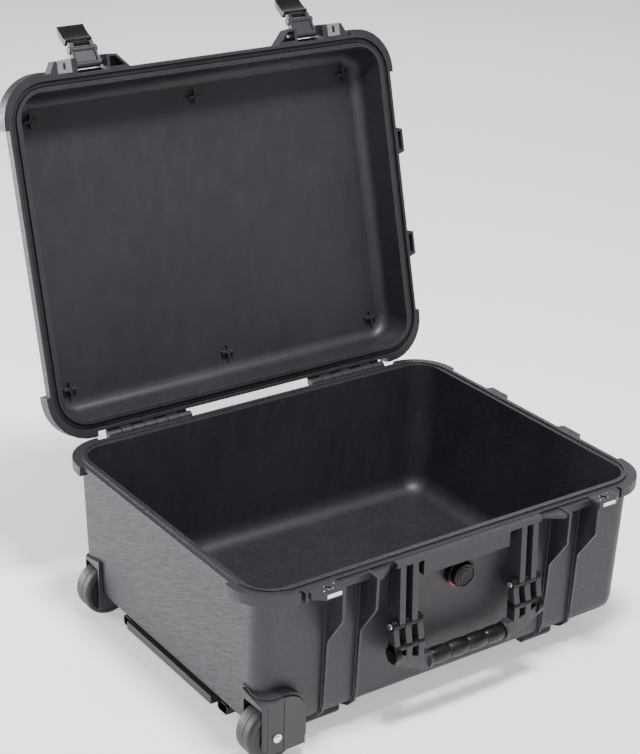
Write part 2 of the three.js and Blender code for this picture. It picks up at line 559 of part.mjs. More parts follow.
// ---- lid (drawn closed, in the same axes as the base) ----------------------------------
function lidShell() {
  const z0 = RIM_Z + GAP;
  const skin = tub({ hx: LID_X, hy: LID_Y, r: LID_R, edge: 20, draft: 6, end: LID_TOP, open: z0 + 3 });
  const cavity = tub({ hx: LID_CAVITY_X, hy: LID_CAVITY_Y, r: 30, edge: 13, draft: 6,
    end: LID_FLOOR, open: z0 - 6 });
  const flange = prism("z", roundRect(RIM_X, RIM_Y, RIM_R), z0, z0 + 8);
  const skirt = ring(RIM_X, RIM_Y, RIM_R, 3.6, z0, z0 + 12);
  const groove = ring(SEAL_X + 3.4, SEAL_Y + 3.4, RIM_R - 3, 6.8, z0 - 1, z0 + 6);
  const ribs = ENDS.map(([, s]) => endBlock(s, -205, 205, 81, 103, LID_TOP - 2, CASE_H));
  const star = CORNERS.concat([[0, -1], [0, 1]]).map(([sx, sy]) => {
    const [x, y] = [sx * 229, sy * 164.5];
    return cut(join(
      block(x - 9, x + 9, y - 1.2, y + 1.2, LID_FLOOR - 6, LID_FLOOR + 1),
      block(x - 1.2, x + 1.2, y - 9, y + 9, LID_FLOOR - 6, LID_FLOOR + 1),
      rod("z", [x, y], 3, LID_FLOOR - 6, LID_FLOOR + 1, 8),
    ), rod("z", [x, y], 1.1, LID_FLOOR - 7, LID_FLOOR - 1, 6));
  });
  const finProfile = [[-210, z0], [-232.5, z0], [-232.5, z0 + 19], [-229, z0 + 26], [-221, z0 + 30],
    [-202, z0 + 31], [-202, z0 + 8], [-210, z0 + 8]];
  const fins = SIDES.flatMap(([, s]) => {
    const innerGusset = [[SLOT_IN - 1, -211], [SLOT_IN - 1, -232.5], [123.4, -231.5], [106.5, -214.3],
      [106.5, -211]];
    const innerPocket = [[SLOT_IN - 3.4, -217], [SLOT_IN - 3.4, -229.6], [124.5, -228.8], [113.5, -217]];
    const outerBlock = [[SLOT_OUT + 1, -211], [SLOT_OUT + 1, -232.5], [206.5, -231.5], [215.8, -215],
      [215.8, -211]];
    return [
      fin(s, finProfile, SLOT_IN - FIN, SLOT_IN),
      fin(s, finProfile, SLOT_OUT, SLOT_OUT + FIN),
      cut(sidePrism(s, innerGusset, z0, z0 + 16), sidePrism(s, innerPocket, z0 - 1, z0 + 13.5)),
      cut(sidePrism(s, outerBlock, z0, z0 + 16), sideBlock(s, 184.4, 203.6, -233.5, -216.4, z0 - 1, z0 + 2.3),
        sideBlock(s, 191.8, 196.2, -229.5, -220, z0 - 1, z0 + 20)),
    ];
  });
  const pivotBores = SIDES.map(([, s]) => rod("x", LATCH_PIVOT, 2.3, s * 130, s * 186, 10));
  const shell = join(skin, flange, skirt, ribs,
    cornerBands(z0, z0 + 4, z0 + 3, z0 + LID_BAND_H, FRONT_END_LID),
    hingeKnuckles(true), fins,
    // plates that close the gap over the hinge barrels
    SIDES.map(([, s]) => sideBlock(s, HINGE_IN, HINGE_OUT, 212, 224.6, HINGE_Z + 6.2, HINGE_Z + 9)),
    // shelves behind the latches, between their fins
    SIDES.map(([, s]) => sideBlock(s, SLOT_IN - 1, SLOT_OUT + 1, -202, -217.4, z0 + 21.6, z0 + 24)),
    endGussets(z0, z0 + 25, z0 - 1, z0 + 22));
  return cut(join(cut(shell, cavity), star), groove, pivotBores);
}

const toward = ([ay, az], [by, bz]) => Math.atan2(bz - az, by - ay);

/** Bar between two pivots with round ends, in a plane of constant x. */
function link([ay, az], ra, [by, bz], rb) {
  const angle = toward([ay, az], [by, bz]);
  const shape = new THREE.Shape();
  shape.absarc(ay, az, ra, angle + Math.PI / 2, angle + 1.5 * Math.PI);
  shape.absarc(by, bz, rb, angle - Math.PI / 2, angle + Math.PI / 2);
  shape.closePath();
  return shape;
}

function latchArm(x) {
  const ear = link(LATCH_BAR, 3.2, LEVER_PIVOT, 3.2);
  return cut(
    join(
      prism("x", link(LATCH_PIVOT, 3.2, LATCH_BAR, 2.4), x - 13, x + 13, 2),
      prism("x", link(LATCH_PIVOT, 4.4, LATCH_BAR, 3.4), x - 17, x - 14.4, 2),
      prism("x", link(LATCH_PIVOT, 4.4, LATCH_BAR, 3.4), x + 14.4, x + 17, 2),
      rod("x", LATCH_PIVOT, 4.4, x - 17, x + 17, 12),
      rod("x", LATCH_BAR, 3.9, x - 18.6, x + 18.6, 12),
      prism("x", ear, x - 16, x - 11, 2),
      prism("x", ear, x + 11, x + 16, 2),
    ),
    rod("x", LATCH_PIVOT, 2.3, x - 30, x + 30, 10),
    rod("x", LEVER_PIVOT, 1.8, x - 30, x + 30, 8),
  );
}

function latchLever(x) {
  const [y, z] = LEVER_PIVOT;
  const away = Math.atan2(22, -20);
  const along = (d, side) => [y + d * Math.cos(away) - side * Math.sin(away),
    z + d * Math.sin(away) + side * Math.cos(away)];
  // the pad's section: a thick root edge, a slightly hollow face and a turned tip
  const pad = [along(4.4, -2.2), along(4.4, 2.6), along(9, 1.9), along(25, 1.9), along(30.5, 3.4),
    along(31, 1.2), along(26, -1.2), along(9, -1.6)];
  const tang = [along(-1, -2), along(6, -2), along(6, 2), along(-1, 2)];
  const flange = [along(5.2, -1.8), along(7.5, -6.4), along(24, -5), along(29, -0.8)];
  const tidy = (points) => outline(THREE.ShapeUtils.area(points.map(([u, v]) => new THREE.Vector2(u, v))) < 0
    ? points.slice().reverse() : points);
  return cut(
    join(prism("x", tidy(pad), x - 18, x + 18), prism("x", tidy(tang), x - 10.6, x + 10.6),
      prism("x", tidy(flange), x - 18, x - 16.3), prism("x", tidy(flange), x + 16.3, x + 18),
      rod("x", LEVER_PIVOT, 3, x - 10.6, x + 10.6, 10)),
    rod("x", LEVER_PIVOT, 1.8, x - 30, x + 30, 8),
  );
}

// ---- assembly ---------------------------------------------------------------------------
const model = new THREE.Group();

model.add(piece("base_shell", baseShell(), SHELL()));
model.add(...valve());
for (const [name, s] of SIDES) {
  const insert = sideBlock(s, 184, 202, -235.2, -231, RIM_Z - 6.3, RIM_Z - 1.7);
  model.add(piece(`padlock_insert_base_${name}`, insert, STEEL()));
  const hingePin = rod("x", [HINGE_Y, HINGE_Z], 2.2, s * (HINGE_IN - 0.5), s * (HINGE_OUT + 0.5), 10);
  model.add(piece(`hinge_pin_${name}`, hingePin, STEEL()));
  model.add(piece(`front_handle_pin_${name}`, handlePin(handleSpec.front, s), STEEL()));
}
for (const [name, s] of ENDS) {
  model.add(piece(`wheel_housing_${name}`, wheelHousing(name, s), MOULDED()));
  model.add(wheelParts(name, s));
  model.add(piece(`wheel_axle_${name}`, wheelAxle(name, s), STEEL()));
  model.add(piece(`side_handle_pin_${name}`, toRightEnd(handlePin(handleSpec.side, s)), STEEL()));
  model.add(roundTube(`trolley_outer_tube_${name}`, 10, 6.5, 1.2, -250, 252, s * TUBE_Y));
  model.add(roundTube(`trolley_inner_tube_${name}`, 8.4, 4.9, 1.3, -235, 267.6, s * TUBE_Y));
}
model.add(piece("underside_tray", undersideTray(), MOULDED()));
for (const [name, x] of [["left", -105], ["right", 215]]) {
  model.add(piece(`tube_strap_${name}`, tubeStrap(x), MOULDED()));
}
for (const [sx, sy] of CORNERS) {
  const name = `tray_screw_${sx < 0 ? "left" : "right"}_${sy < 0 ? "front" : "rear"}`;
  model.add(piece(name, trayScrew(sx, sy), DARK_STEEL()));
}

const { front, side } = handleSpec;
model.add(piece("front_handle_frame", handleFrame(front), MOULDED()));
model.add(piece("front_handle_grip", handleGrip(front), RUBBER()));
model.add(piece("side_handle_frame", toRightEnd(handleFrame(side)), MOULDED()));
model.add(piece("side_handle_grip", toRightEnd(handleGrip(side)), RUBBER()));

model.add(piece("trolley_grip", trolleyGrip(), MOULDED()));
model.add(piece("trolley_release_button",
  block(276.4, 281.6, -22, 22, TUBE_Z - 3.4, TUBE_Z + 3.4), RUBBER()));

// The lid is drawn closed and then turned about the hinge axis.
const hinge = new THREE.Group();
hinge.position.set(0, HINGE_Y, HINGE_Z);
hinge.rotation.x = THREE.MathUtils.degToRad(-LID_OPEN);
const lid = new THREE.Group();
lid.position.set(0, -HINGE_Y, -HINGE_Z);
hinge.add(lid);
model.add(hinge);

lid.add(piece("lid_shell", lidShell(), SHELL()));
lid.add(piece("lid_seal_ring",
  ring(SEAL_X + 2.4, SEAL_Y + 2.4, RIM_R - 4, 4.8, RIM_Z + 2.9, RIM_Z + 6), RUBBER()));
for (const [name, s] of SIDES) {
  const plate = cut(sideBlock(s, 184.7, 203.3, -232.3, -216.7, RIM_Z + GAP, RIM_Z + 2.3),
    sideBlock(s, 192, 196, -229, -220.5, RIM_Z, RIM_Z + 3));
  lid.add(piece(`padlock_insert_lid_${name}`, plate, STEEL()));
  const x = s * LATCH_X;
  lid.add(piece(`latch_pin_${name}`, rod("x", LATCH_PIVOT, 1.9, x - 24, x + 24, 10), DARK_STEEL()));
  lid.add(piece(`latch_arm_${name}`, latchArm(x), MOULDED()));
  lid.add(piece(`lever_pin_${name}`, rod("x", LEVER_PIVOT, 1.4, x - 16.4, x + 16.4, 8), DARK_STEEL()));
  lid.add(piece(`latch_lever_${name}`, latchLever(x), RUBBER()));
}

model.updateMatrixWorld(true);
export default model;
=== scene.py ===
"""Looks of the wheeled hard equipment case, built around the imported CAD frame."""
import json
import math

import bmesh
import bpy
from mathutils import Matrix, Vector


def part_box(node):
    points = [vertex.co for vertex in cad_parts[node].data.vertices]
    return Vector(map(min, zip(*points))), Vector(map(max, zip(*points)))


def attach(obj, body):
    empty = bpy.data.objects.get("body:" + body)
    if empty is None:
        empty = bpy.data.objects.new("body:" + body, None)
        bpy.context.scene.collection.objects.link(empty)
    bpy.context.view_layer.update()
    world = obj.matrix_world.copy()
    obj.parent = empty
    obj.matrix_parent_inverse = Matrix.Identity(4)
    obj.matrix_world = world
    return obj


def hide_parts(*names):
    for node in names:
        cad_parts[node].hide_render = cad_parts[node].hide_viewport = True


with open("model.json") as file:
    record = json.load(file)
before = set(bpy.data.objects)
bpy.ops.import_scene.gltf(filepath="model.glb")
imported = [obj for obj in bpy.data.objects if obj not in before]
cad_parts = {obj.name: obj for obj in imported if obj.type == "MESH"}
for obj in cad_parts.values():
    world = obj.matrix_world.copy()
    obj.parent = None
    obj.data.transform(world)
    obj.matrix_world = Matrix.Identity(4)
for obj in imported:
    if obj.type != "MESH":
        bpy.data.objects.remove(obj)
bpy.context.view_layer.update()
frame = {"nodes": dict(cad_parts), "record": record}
nodes = frame["nodes"]

MM = 0.001
SIDES = (("left", -1), ("right", 1))
ENDS = (("front", -1), ("rear", 1))

# places on the case, in millimetres
LID_HINGE = (222.3, 205)
LID_OPEN = 104.3
LATCH_X = 157
LATCH_PIVOT = (-223, 222)
LATCH_BAR = (-241, 229)
LEVER_PIVOT = (-248, 232)
WHEEL = (-247.5, 33)
VALVE = (0, 157)
PADLOCK = (193.4, -224)
PADLOCK_TOP = 206.6


# ---- camera ---------------------------------------------------------------------
AZIMUTH, ELEVATION, ROLL = math.radians(-34.286), math.radians(23.783), math.radians(1.021)
TARGET = Vector((0.0, 0.14695, 0.25483))
DISTANCE = 2.26013


def make_camera():
    """Camera at the viewing angle of the open case, turned a little about its own axis."""
    back = Vector((math.sin(AZIMUTH) * math.cos(ELEVATION), -math.cos(AZIMUTH) * math.cos(ELEVATION),
                   math.sin(ELEVATION)))
    level = Vector((0, 0, 1)).cross(back).normalized()
    upright = back.cross(level)
    right = math.cos(ROLL) * level + math.sin(ROLL) * upright
    up = -math.sin(ROLL) * level + math.cos(ROLL) * upright
    data = bpy.data.cameras.new("camera")
    data.sensor_width = 36
    data.lens = 87.08
    data.shift_x = 0.0465
    data.shift_y = 0.0084
    data.clip_start = 0.05
    data.clip_end = 50
    camera = bpy.data.objects.new("camera", data)
    turn = Matrix((right, up, back)).transposed().to_4x4()
    camera.matrix_world = Matrix.Translation(TARGET + back * DISTANCE) @ turn
    bpy.context.scene.collection.objects.link(camera)
    bpy.context.scene.camera = camera


make_camera()


# ---- stage and light -------------------------------------------------------------
def link(piece):
    bpy.context.scene.collection.objects.link(piece)
    return piece


def make_stage():
    """Plain pale floor, a hair under the feet."""
    mesh = bpy.data.meshes.new("floor")
    half = 9.0
    corners = [(-half, -half, 0), (half, -half, 0), (half, half, 0), (-half, half, 0)]
    mesh.from_pydata(corners, [], [(0, 1, 2, 3)])
    floor = link(bpy.data.objects.new("floor", mesh))
    floor.location.z = -0.0005
    material = bpy.data.materials.new("floor")
    material.use_nodes = True
    shader = material.node_tree.nodes["Principled BSDF"]
    shader.inputs["Base Color"].default_value = (0.9, 0.9, 0.905, 1)
    shader.inputs["Roughness"].default_value = 0.8
    shader.inputs["Emission Color"].default_value = (1, 1, 1, 1)
    shader.inputs["Emission Strength"].default_value = 0.5
    mesh.materials.append(material)


def area_light(name, location, aim, width, height, power):
    data = bpy.data.lights.new(name, "AREA")
    data.shape = "RECTANGLE"
    data.size = width
    data.size_y = height
    data.energy = power
    lamp = link(bpy.data.objects.new(name, data))
    lamp.location = location
    lamp.rotation_euler = (Vector(aim) - Vector(location)).to_track_quat("-Z", "Y").to_euler()


def make_light():
    """Soft studio light: strong from the back left, weak from the front and back right, one overhead."""
    world = bpy.data.worlds.new("studio")
    world.use_nodes = True
    sky = world.node_tree.nodes["Background"]
    sky.inputs["Color"].default_value = (1, 1, 1, 1)
    sky.inputs["Strength"].default_value = 0.4
    bpy.context.scene.world = world
    area_light("left_softbox", (-1.9, 2.1, 0.6), (-0.27, 0.0, 0.1), 1.7, 1.0, 120)
    area_light("front_softbox", (-1.9, -2.4, 1.5), (-0.1, 0, 0.15), 1.6, 1.2, 16)
    area_light("top_softbox", (-0.1, -0.5, 2.4), (0.03, 0.0, 0.1), 0.5, 0.4, 90)
    area_light("back_softbox", (1.9, 2.5, 2.0), (0, 0.1, 0.3), 2.0, 2.0, 22)


make_stage()
make_light()


# ---- materials ---------------------------------------------------------------------
class Finish:
    """A material's node tree, with short helpers for building it."""

    def __init__(self, name):
        self.material = bpy.data.materials.new(name)
        self.material.use_nodes = True
        self.tree = self.material.node_tree
        self.shader = self.tree.nodes["Principled BSDF"]

    def add(self, kind, **settings):
        node = self.tree.nodes.new(kind)
        for key, value in settings.items():
            if key in node.inputs:
                node.inputs[key].default_value = value
            else:
                setattr(node, key, value)
        return node

    def join(self, output, target):
        self.tree.links.new(output, target)

    def place(self, scale=(1, 1, 1), rotation=(0, 0, 0)):
        """Object coordinates, turned and then stretched."""
        source = self.add("ShaderNodeTexCoord")
        mapping = self.add("ShaderNodeMapping", vector_type="TEXTURE")
        mapping.inputs["Scale"].default_value = scale
        mapping.inputs["Rotation"].default_value = rotation
        self.join(source.outputs["Object"], mapping.inputs["Vector"])
        return mapping.outputs["Vector"]

    def noise(self, scale, detail=3.0, roughness=0.5, vector=None, distortion=0.0):
        node = self.add("ShaderNodeTexNoise", Scale=scale, Detail=detail, Roughness=roughness,
                        Distortion=distortion)
        self.join(vector or self.place(), node.inputs["Vector"])
        return node.outputs["Fac"]

    def remap(self, factor, low, high, start=0.0, end=1.0):
        node = self.add("ShaderNodeMapRange")
        for key, value in (("From Min", start), ("From Max", end), ("To Min", low), ("To Max", high)):
            node.inputs[key].default_value = value
        self.join(factor, node.inputs["Value"])
        return node.outputs["Result"]

    def math(self, operation, a, b):
        node = self.add("ShaderNodeMath", operation=operation)
        for socket, value in zip(node.inputs, (a, b)):
            if isinstance(value, (int, float)):
                socket.default_value = value
            else:
                self.join(value, socket)
        return node.outputs[0]

    def blend(self, factor, dark, light):
        node = self.add("ShaderNodeMix", data_type="RGBA")
        self.join(factor, node.inputs["Factor"])
        for socket, value in ((6, dark), (7, light)):
            if isinstance(value, (tuple, list)):
                node.inputs[socket].default_value = (*value, 1)
            else:
                self.join(value, node.inputs[socket])
        return node.outputs[2]

    def edge(self, radius):
        """How strongly a point lies on a rounded edge, 0 to 1."""
        bevel = self.add("ShaderNodeBevel", samples=4)
        bevel.inputs["Radius"].default_value = radius
        geometry = self.add("ShaderNodeNewGeometry")
        dot = self.add("ShaderNodeVectorMath", operation="DOT_PRODUCT")
        self.join(bevel.outputs["Normal"], dot.inputs[0])
        self.join(geometry.outputs["Normal"], dot.inputs[1])
        return self.remap(dot.outputs["Value"], 1, 0, 0.82, 0.99)

    def relief(self, height, strength, distance, radius=0.0007):
        """Bump over edges rounded in shading."""
        bevel = self.add("ShaderNodeBevel", samples=4)
        bevel.inputs["Radius"].default_value = radius
        node = self.add("ShaderNodeBump", Strength=strength, Distance=distance)
        self.join(height, node.inputs["Height"])
        self.join(bevel.outputs["Normal"], node.inputs["Normal"])
        self.join(node.outputs["Normal"], self.shader.inputs["Normal"])


def moulded(name, colour, roughness, grain=1.0, hair=0.5, shine=0.5):
    """Moulded plastic: pebble grain, flow marks, hair-fine rub marks and paler rubbed edges."""
    n = Finish(name)
    pebble = n.noise(1500, 2.0, 0.55)
    coarse = n.noise(240, 3.0, 0.6)
    patches = n.noise(6, 4.0, 0.6)
    streak = n.noise(60, 4.0, 0.65, n.place((1, 1, 5.5), (0.1, 0.1, 0)))
    hairs = n.noise(620, 3.0, 0.7, n.place((1, 14, 1), (math.radians(-24), 0, 0)), 0.5)
    tone = n.math("ADD", n.math("MULTIPLY", patches, 0.5), n.math("MULTIPLY", streak, 0.5))
    dark = [c * 0.8 for c in colour]
    light = [c * 1.25 for c in colour]
    body = n.blend(n.remap(tone, 0, 1, 0.32, 0.68), dark, light)
    rubbed = [min(1, c * 3.2 + 0.012) for c in colour]
    wear = n.math("MULTIPLY", n.edge(0.0011), n.remap(coarse, 0.15, 0.8, 0.35, 0.7))
    n.join(n.blend(wear, body, rubbed), n.shader.inputs["Base Color"])
    scuffs = n.remap(hairs, -0.06 * hair, 0.12 * hair, 0.4, 0.7)
    rough = n.math("ADD", n.remap(tone, roughness - 0.05, roughness + 0.06, 0.32, 0.68), scuffs)
    n.join(n.math("SUBTRACT", rough, n.math("MULTIPLY", wear, 0.1)), n.shader.inputs["Roughness"])
    relief = n.math("ADD", n.math("MULTIPLY", pebble, 0.5), n.math("MULTIPLY", coarse, 0.5))
    relief = n.math("ADD", relief, n.math("MULTIPLY", hairs, hair))
    n.shader.inputs["Specular IOR Level"].default_value = shine
    n.relief(relief, 0.22 * grain, 0.0006)
    return n.material


def rubber(name, colour, roughness, shine=0.5):
    """Soft overmould or tyre: matt and slightly dusty."""
    n = Finish(name)
    fine = n.noise(1100, 3.0, 0.6)
    dust = n.noise(45, 5.0, 0.7)
    dark = [c * 0.75 for c in colour]
    light = [c * 1.6 for c in colour]
    n.join(n.blend(n.remap(dust, 0, 1, 0.4, 0.75), dark, light), n.shader.inputs["Base Color"])
    n.join(n.remap(dust, roughness - 0.08, roughness + 0.1, 0.3, 0.7), n.shader.inputs["Roughness"])
    n.shader.inputs["Specular IOR Level"].default_value = shine
    n.relief(fine, 0.2, 0.0005, 0.0004)
    return n.material


def metal(name, colour, roughness, stretch=(1, 1, 20)):
    """Drawn or brushed metal with fine lines along one direction."""
    n = Finish(name)
    lines = n.noise(900, 3.0, 0.6, n.place(stretch))
    smudge = n.noise(60, 3.0, 0.6)
    dark = [c * 0.8 for c in colour]
    light = [min(1.0, c * 1.12) for c in colour]
    n.join(n.blend(lines, dark, light), n.shader.inputs["Base Color"])
    n.join(n.remap(n.math("ADD", lines, smudge), roughness - 0.08, roughness + 0.12, 0.6, 1.4),
           n.shader.inputs["Roughness"])
    n.shader.inputs["Metallic"].default_value = 1.0
    n.relief(lines, 0.08, 0.0003, 0.0003)
    return n.material


MATERIALS = {
    "shell": moulded("shell_plastic", (0.0205, 0.0160, 0.0230), 0.48, grain=0.8, hair=1.7,
                     shine=0.46),
    "moulded": moulded("moulded_plastic", (0.0205, 0.0172, 0.0228), 0.46, grain=0.7, hair=0.3),
    "black_moulded": moulded("black_plastic", (0.0050, 0.0043, 0.0056), 0.28, grain=0.5, hair=0.2,
                             shine=0.24),
    "grip_rubber": rubber("grip_rubber", (0.0050, 0.0043, 0.0056), 0.36, 0.34),
    "seal_rubber": rubber("seal_rubber", (0.006, 0.006, 0.0065), 0.5),
    "tyre": rubber("tyre_rubber", (0.0125, 0.0106, 0.0136), 0.5),
    "red_ring": rubber("red_rubber", (0.55, 0.010, 0.03), 0.35),
    "steel": metal("bright_steel", (0.8, 0.8, 0.81), 0.28),
    "dark_steel": metal("dark_steel", (0.13, 0.13, 0.135), 0.38),
    "trolley_tube": metal("black_tube", (0.05, 0.05, 0.053), 0.35, (20, 1, 1)),
}
SLOT_OF = {row["node"]: row["material_slot"] for row in frame["record"]["subparts"]}


# ---- carried-over CAD nodes ----------------------------------------------------------
def smooth_surface(piece):
    """Welds the facets and smooths everything flatter than a real edge."""
    weld = piece.modifiers.new("weld", "WELD")
    weld.merge_threshold = 0.00001
    split = piece.modifiers.new("edges", "EDGE_SPLIT")
    split.split_angle = math.radians(32)
    normals = piece.modifiers.new("normals", "WEIGHTED_NORMAL")
    normals.weight = 50


def dress_cad_nodes():
    for name, piece in nodes.items():
        piece.data.materials.clear()
        piece.data.materials.append(MATERIALS[SLOT_OF[name]])
        for face in piece.data.polygons:
            face.use_smooth = True
        smooth_surface(piece)


dress_cad_nodes()


# ---- mesh building (drawn in millimetres, turned into metres at the end) ---------------
PLANES = {"x": lambda t, u, v: (t, u, v), "y": lambda t, u, v: (u, t, v), "z": lambda t, u, v: (u, v, t)}
# OPEN turns a shape drawn on the closed lid to the open lid; TO_END turns a front shape to the right end
OPEN = (Matrix.Translation((0, *LID_HINGE)) @ Matrix.Rotation(math.radians(-LID_OPEN), 4, "X")
        @ Matrix.Translation((0, -LID_HINGE[0], -LID_HINGE[1])))
TO_END = Matrix.Rotation(math.radians(90), 4, "Z")


def slab(axis, outline, a, b, rounding=0.8, segments=2):
    """Outline pushed along an axis, with every sharp edge rounded."""
    bm = bmesh.new()
    point = PLANES[axis]
    low_ring = [bm.verts.new(point(a, u, v)) for u, v in outline]
    high_ring = [bm.verts.new(point(b, u, v)) for u, v in outline]
    bm.faces.new(low_ring)
    bm.faces.new(high_ring)
    for i, start in enumerate(low_ring):
        j = (i + 1) % len(outline)
        bm.faces.new((start, low_ring[j], high_ring[j], high_ring[i]))
    bmesh.ops.recalc_face_normals(bm, faces=bm.faces)
    if rounding:
        sharp = [e for e in bm.edges if e.calc_face_angle(0) > math.radians(24)]
        bmesh.ops.bevel(bm, geom=sharp, offset=rounding, segments=segments, profile=0.5, affect="EDGES",
                        clamp_overlap=True)
    return bm


def turned(axis, centre, profile, segments=48, shape=None):
    """Profile of (distance along the axis, radius) turned about the axis; shape changes a radius by angle."""
    bm = bmesh.new()
    point = PLANES[axis]
    rings = []
    for t, radius in profile:
        if radius < 1e-6:
            rings.append([bm.verts.new(point(t, *centre))])
            continue
        ring = []
        for i in range(segments):
            angle = 2 * math.pi * i / segments
            r = shape(t, radius, angle) if shape else radius
            u, v = centre[0] + r * math.cos(angle), centre[1] + r * math.sin(angle)
            ring.append(bm.verts.new(point(t, u, v)))
        rings.append(ring)
    closed = profile[0] == profile[-1]
    if closed:
        for vert in rings.pop():
            bm.verts.remove(vert)
    pairs = zip(rings, rings[1:] + (rings[:1] if closed else []))
    for ring, after in pairs:
        for i in range(segments):
            j = (i + 1) % segments
            corners = [ring[i % len(ring)], ring[j % len(ring)], after[j % len(after)], after[i % len(after)]]
            unique = [c for k, c in enumerate(corners) if c not in corners[:k]]
            if len(unique) > 2:
                bm.faces.new(unique)
    bmesh.ops.recalc_face_normals(bm, faces=bm.faces)
    return bm


def plug(axis, centre, radius, a, b, rounding=0.5):
    """Solid round bar with rounded rims."""
    a, b = min(a, b), max(a, b)
    k = rounding * 0.3
    profile = [(a, 0), (a, radius - rounding), (a + k, radius - k), (a + rounding, radius),
               (b - rounding, radius), (b - k, radius - k), (b, radius - rounding), (b, 0)]
    return turned(axis, centre, profile, 40)


def gather(name, parts, slot, body, replaced=(), move=None):
    """Joins mesh parts into one object that rides on a body."""
    whole = bmesh.new()
    for part in parts:
        scratch = bpy.data.meshes.new("scratch")
        part.to_mesh(scratch)
        part.free()
        whole.from_mesh(scratch)
        bpy.data.meshes.remove(scratch)
    if move:
        bmesh.ops.transform(whole, matrix=move, verts=whole.verts)
    bmesh.ops.scale(whole, vec=(MM, MM, MM), verts=whole.verts)
    mesh = bpy.data.meshes.new(name)
    whole.to_mesh(mesh)
    whole.free()
    mesh.materials.append(MATERIALS[slot])
    for face in mesh.polygons:
        face.use_smooth = True
    piece = link(bpy.data.objects.new(name, mesh))
    smooth_surface(piece)
    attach(piece, body)
    if replaced:
        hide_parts(*replaced)


# ---- handles ------------------------------------------------------------------------------
HANDLES = {
    "front": {"pin": (-220, 128), "bar": (-223, 73), "grip": 10, "elbow": 10.5, "squeeze": 1.0,
              "move": None},
    "side": {"pin": (-275, 128), "bar": (-276.4, 78), "grip": 8.6, "elbow": 8.8, "squeeze": 0.72,
             "move": TO_END},
}
KNUCKLES = ((64.5, 72.6), (81, 89.4), (97.8, 105.2))
FIN_GAPS = ((72.6, 81), (89.4, 97.8))


def handle_frame(name, spec):
    """Ladder arms that sweep in to the grip, with black ringed barrels, rungs and elbows.

    The sleeves between the barrels sit on the fins of the case and stay still.
    """
    (py, pz), (by, bz) = spec["pin"], spec["bar"]
    k, deep = spec["squeeze"], spec["elbow"] * 0.66
    front, back, elbow = by - deep, by + deep, (by - 0.5, bz + 21)
    low_edge, rise_from = -spec["grip"] - 0.6, 60
    rise = (10.5 - low_edge) / (KNUCKLES[-1][1] - rise_from)
    parts = [plug("x", spec["bar"], 5.4, -56 * k, 56 * k)]
    black = []
    fixed = []
    for _, s in SIDES:
        for a, b in FIN_GAPS:
            fixed.append(plug("x", spec["pin"], 5.8, s * (a + 0.2) * k, s * (b - 0.2) * k, 0.6))
        for a, b in KNUCKLES:
            underside = [bz + low_edge + rise * max(0, x - rise_from) for x in (a, b)]
            foot = sum(underside) / 2 + 0.6
            rib = [(py + 4.2, pz), (py - 4.2, pz), (front, elbow[1] + 8), (front, foot), (back, foot),
                   (back, elbow[1] + 8)]
            parts.append(slab("x", rib, s * a * k, s * b * k, 0.9))
            middle = (a + b) / 2
            for t0, t1, r in ((a, b, 5.7), (a + 0.4, middle - 0.4, 6.2), (middle + 0.4, b - 0.4, 6.2)):
                black.append(plug("x", spec["pin"], r, s * t0 * k, s * t1 * k, 0.5))
            boss = [(front - 0.5, elbow[1] + 8), (front + 1, elbow[1] + 12.6), (back - 0.6, elbow[1] + 12.6),
                    (back - 0.6, elbow[1] + 3.4), (front + 1, elbow[1] + 3.4)]
            black.append(slab("x", boss, s * (a - 0.8) * k, s * (b + 0.8) * k, 0.9))
        rung = [(front + 1.0, elbow[1] + 4.4), (front + 0.2, elbow[1] + 8), (front + 1.0, elbow[1] + 11.6),
                (back - 1, elbow[1] + 11.6), (back - 1, elbow[1] + 4.4)]
        black.append(slab("x", rung, s * 64 * k, s * 106 * k, 0.9))
        black.append(plug("x", elbow, spec["elbow"] + 0.4, s * 98.0 * k, s * 106.0 * k, 1.2))
        parts.append(plug("x", spec["bar"], spec["grip"] + 0.8, s * 53 * k, s * 56.8 * k, 0.8))
        strut = [(55, 11), (55, low_edge), (rise_from, low_edge), (104.6, 9.9), (104.6, 21), (97.8, 21),
                 (72, 12)]
        parts.append(slab("y", [(s * x * k, bz + z) for x, z in strut], front + 0.6, back - 0.6, 1.0))
    gather(f"handle_arms_{name}", parts, "moulded", f"{name}_handle", [f"{name}_handle_frame"], spec["move"])
    gather(f"handle_barrels_{name}", black, "black_moulded", f"{name}_handle", (), spec["move"])
    gather(f"handle_sleeves_{name}", fixed, "black_moulded", "base", (), spec["move"])


def handle_grip(name, spec):
    """Rubber sleeve with four finger waves, a fine seam between them and turned lips at both ends."""
    half = 52.6 * spec["squeeze"]
    steps = 144

    def waved(t, radius, angle):
        place = (t + half) / (2 * half) * 4
        wave = abs(math.sin(place * math.pi)) ** 0.55
        under = 0.55 - 0.45 * math.sin(angle)
        seam = math.exp(-((place - round(place)) * 2 * half / 4 / 0.7) ** 2) if 0.5 < place < 3.5 else 0
        return radius - 2.4 * (1 - wave) * (0.45 + 0.55 * under) - 0.7 * seam

    profile = [(-half, 5.6), (-half, spec["grip"] - 0.8)]
    profile += [(-half + 0.6 + (2 * half - 1.2) * i / steps, spec["grip"]) for i in range(steps + 1)]
    profile += [(half, spec["grip"] - 0.8), (half, 5.6)]
    sleeve = turned("x", spec["bar"], profile, 56, waved)
    gather(f"rubber_grip_{name}", [sleeve], "grip_rubber", f"{name}_handle", [f"{name}_handle_grip"],
           spec["move"])


